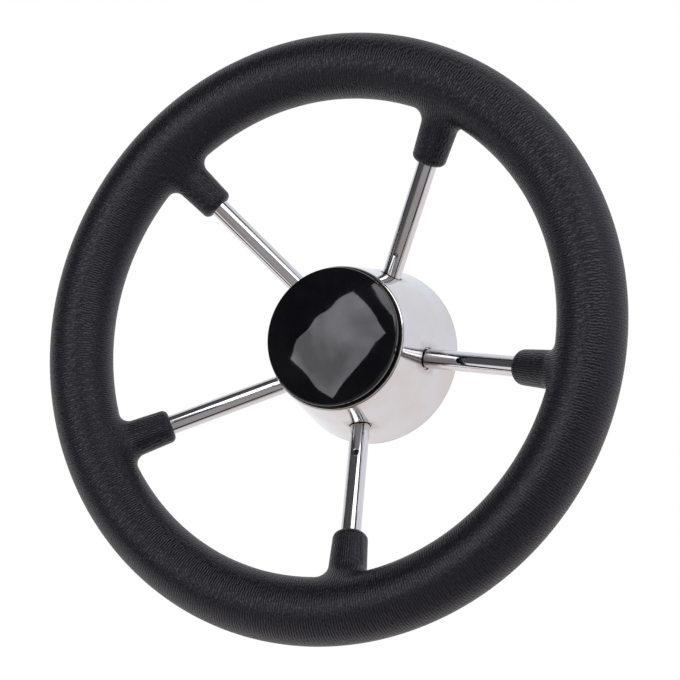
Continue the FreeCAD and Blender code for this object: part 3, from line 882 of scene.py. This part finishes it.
def floor_finish(colours):
    """Pale matt floor with a faint mottle, clear from below, which fades away from the wheel."""
    finish = Finish("pale_floor", colours.floor, roughness=0.9, specular_ior_level=0.1)
    mottle = finish.noise(3, detail=4)
    finish.link(finish.mix(mottle, scaled(colours.floor, 0.97), colours.floor), "Base Color")
    distance = finish.node("ShaderNodeVectorMath", {0: finish.place()}, operation="LENGTH").outputs["Value"]
    fade = finish.range(distance, *FLOOR_FADE)
    below = finish.node("ShaderNodeNewGeometry").outputs["Backfacing"]
    clear = finish.node("ShaderNodeBsdfTransparent").outputs[0]
    faded = finish.node("ShaderNodeMixShader", {
        0: finish.sum(fade, below), 1: finish.shader.outputs[0], 2: clear}).outputs[0]
    finish.tree.links.new(faded, finish.tree.nodes["Material Output"].inputs["Surface"])
    return finish.material


# Stage

# Name, place, turn in degrees, width and height, and radiance of each softbox
SOFTBOXES = (
    ("softbox", (-0.394, -1.389, 0.196), (75.0, 48.0, -31.6), (0.937, 1.311), 3.0),
    ("side_softbox", (0.747, -0.857, 0.705), (59.5, -14.6, 45.4), (1.227, 0.855), 2.6),
)

# Where each wall of the studio lies, the start and end of its soft step, and its light before and after
WALLS = (
    ((0, 1, 0), -0.15, 0.30, 0.10, 1.0),  # behind the wheel, with a dim room in front of it
    ((1, 0, 0), 0.66, 0.80, 0.0, 1.0),  # right
    ((-0.85, 0, -0.53), 0.76, 0.84, 0.0, 1.1),  # lower left
    ((0, 0, -1), 0.38, 0.50, 0.0, 0.33),  # below
    ((0.58, 0, -0.81), 0.20, 0.30, 0.0, 0.42),  # lower right
)
UPWARD_STEP = ((0, 0, 1), -0.6, 0.6, 0.0, 1.0)
TINT_BELOW, TINT_ABOVE = (1.0, 0.95, 0.94), (0.93, 0.95, 1.0)
WHITE = (1, 1, 1, 1)


def add_floor(colours, stage):
    """A disc: radius (cos a, sin a) at the floor's height."""
    angle = circle(128)
    points = np.stack([stage.floor_radius * np.cos(angle), stage.floor_radius * np.sin(angle),
                       np.full_like(angle, stage.floor_height)], -1)
    mesh = bpy.data.meshes.new("floor")
    mesh.from_pydata(points.tolist(), [], [list(range(len(points)))])
    mesh.materials.append(floor_finish(colours))
    floor = add_object("floor", mesh)
    floor.visible_glossy = False


def add_light(name, place, turn, size, radiance):
    """A soft rectangular light that shows in gloss, with its strength given as radiance."""
    light = bpy.data.lights.new(name, "AREA")
    light.shape = "RECTANGLE"
    light.size, light.size_y = size
    light.energy = radiance * math.pi * size[0] * size[1]
    item = add_object(name, light)
    item.matrix_world = Matrix.LocRotScale(place, Euler([math.radians(angle) for angle in turn]), None)
    item.visible_camera = False


def add_world(scene):
    """The studio that the gloss mirrors, with a white backdrop for the camera.

    Each wall is a soft step of the direction's reach along a vector, and the strongest one counts. The
    light is a little cooler above than below.
    """
    world = bpy.data.worlds.new("studio")
    world.use_nodes = True
    scene.world = world
    tree = world.node_tree
    direction = new_node(tree, "ShaderNodeTexCoord").outputs["Generated"]

    def step(vector, start, end, low, high):
        reach = new_node(tree, "ShaderNodeVectorMath", {0: direction, 1: vector}, operation="DOT_PRODUCT")
        return new_node(tree, "ShaderNodeMapRange", {
            "Value": reach.outputs["Value"], "From Min": start, "From Max": end, "To Min": low,
            "To Max": high}, interpolation_type="SMOOTHSTEP").outputs["Result"]

    strength = step(*WALLS[0])
    for wall in WALLS[1:]:
        strength = new_node(tree, "ShaderNodeMath", {0: strength, 1: step(*wall)},
                            operation="MAXIMUM").outputs[0]
    below, above = MIX_COLOURS
    tint = new_node(tree, "ShaderNodeMix", {
        "Factor": step(*UPWARD_STEP), below: (*TINT_BELOW, 1), above: (*TINT_ABOVE, 1)}, data_type="RGBA")
    studio = tree.nodes["Background"]
    tree.links.new(strength, studio.inputs["Strength"])
    tree.links.new(tint.outputs[MIX_RESULT], studio.inputs["Color"])
    backdrop = new_node(tree, "ShaderNodeBackground", {"Color": WHITE})
    seen = new_node(tree, "ShaderNodeLightPath").outputs["Is Camera Ray"]
    chosen = new_node(tree, "ShaderNodeMixShader", {0: seen, 1: studio.outputs[0], 2: backdrop.outputs[0]})
    tree.links.new(chosen.outputs[0], tree.nodes["World Output"].inputs["Surface"])


def add_camera(scene, stage):
    camera = bpy.data.cameras.new("camera")
    camera.sensor_width = 36
    camera.lens = stage.focal_pixels / stage.frame_pixels * camera.sensor_width
    item = add_object("camera", camera)
    item.location = stage.eye
    item.rotation_euler = stage.turn
    scene.camera = item
    scene.view_settings.view_transform = "Standard"


# Operators

def settings(context):
    return context.scene.wheel_sizes, context.scene.wheel_colours


def seat(piece, slot, *nodes):
    """The piece rides on the wheel and stands for the nodes it covers."""
    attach(piece, "root")
    if nodes:
        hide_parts(*nodes)


def finish_node(node, material):
    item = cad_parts[node]
    item.data.materials.clear()
    item.data.materials.append(material)


class WHEEL_OT_grip(bpy.types.Operator):
    """Builds the moulded grip with its five sleeves"""
    bl_idname = "wheel.grip"
    bl_label = "Grip"

    def execute(self, context):
        sizes, colours = settings(context)
        seat(grip_skin(sizes).piece("grip_skin", foam_finish(colours)), "grip", "foam_grip")
        finish_node("rim_ring", plain_steel_finish(colours))
        return {"FINISHED"}


class WHEEL_OT_spokes(bpy.types.Operator):
    """Builds the polished rods"""
    bl_idname = "wheel.spokes"
    bl_label = "Spokes"

    def execute(self, context):
        sizes, colours = settings(context)
        material = polished_finish("polished_rod", colours.steel, lines=(2600, 22, 1), roughness=0.05)
        for index in range(SPOKES):
            piece = spoke_skin(sizes, index).piece(f"polished_spoke_{index + 1}", material)
            seat(piece, "spoke", f"spoke_{index + 1}")
        return {"FINISHED"}


class WHEEL_OT_skirt(bpy.types.Operator):
    """Builds the spun skirt"""
    bl_idname = "wheel.skirt"
    bl_label = "Skirt"

    def execute(self, context):
        sizes, colours = settings(context)
        material = polished_finish("polished_skirt", colours.steel, lines=(3, 2600, 1), roughness=0.09)
        seat(skirt_skin(sizes).piece("spun_skirt", material), "skirt", "hub_shell")
        return {"FINISHED"}


class WHEEL_OT_cap(bpy.types.Operator):
    """Builds the gloss cap"""
    bl_idname = "wheel.cap"
    bl_label = "Cap"

    def execute(self, context):
        sizes, colours = settings(context)
        seat(cap_skin(sizes).piece("gloss_cap", cap_finish(colours)), "cap", "centre_cap")
        return {"FINISHED"}


class WHEEL_OT_hub(bpy.types.Operator):
    """Finishes the boss, washer and nut, and adds the weld beads"""
    bl_idname = "wheel.hub"
    bl_label = "Hub"

    def execute(self, context):
        sizes, colours = settings(context)
        finish_node("hub_boss", turned_finish(colours))
        plain = plain_steel_finish(colours)
        for node in ("shaft_washer", "shaft_nut"):
            finish_node(node, plain)
        material = weld_finish(colours)
        for index in range(SPOKES):
            seat(weld_skin(sizes, index).piece(f"weld_{index + 1}", material), "boss")
        return {"FINISHED"}


class WHEEL_OT_stage(bpy.types.Operator):
    """Sets the floor, the lights, the world and the camera"""
    bl_idname = "wheel.stage"
    bl_label = "Stage"

    def execute(self, context):
        scene = context.scene
        stage = scene.wheel_stage
        add_floor(scene.wheel_colours, stage)
        add_world(scene)
        for softbox in SOFTBOXES:
            add_light(*softbox)
        add_camera(scene, stage)
        return {"FINISHED"}


class WHEEL_PT_panel(bpy.types.Panel):
    """Lists the wheel's steps and sizes"""
    bl_label = "Boat steering wheel"
    bl_idname = "WHEEL_PT_panel"
    bl_space_type = "VIEW_3D"
    bl_region_type = "UI"
    bl_category = "Wheel"

    def draw(self, context):
        for operator in OPERATORS:
            self.layout.operator(operator.bl_idname)
        for group, kind in GROUPS.items():
            box = self.layout.box()
            for name in kind.__annotations__:
                box.prop(getattr(context.scene, group), name)


OPERATORS = (WHEEL_OT_grip, WHEEL_OT_spokes, WHEEL_OT_skirt, WHEEL_OT_cap, WHEEL_OT_hub, WHEEL_OT_stage)
GROUPS = {"wheel_sizes": WheelSizes, "wheel_colours": WheelColours, "wheel_stage": WheelStage}


def register():
    for item in (*GROUPS.values(), *OPERATORS, WHEEL_PT_panel):
        bpy.utils.register_class(item)
    for name, group in GROUPS.items():
        setattr(bpy.types.Scene, name, bpy.props.PointerProperty(type=group))


def unregister():
    for name in GROUPS:
        delattr(bpy.types.Scene, name)
    for item in (*GROUPS.values(), *OPERATORS, WHEEL_PT_panel):
        bpy.utils.unregister_class(item)


def main():
    register()
    bpy.ops.wheel.grip()
    bpy.ops.wheel.spokes()
    bpy.ops.wheel.skirt()
    bpy.ops.wheel.cap()
    bpy.ops.wheel.hub()
    bpy.ops.wheel.stage()


if __name__ == "__main__":
    main()
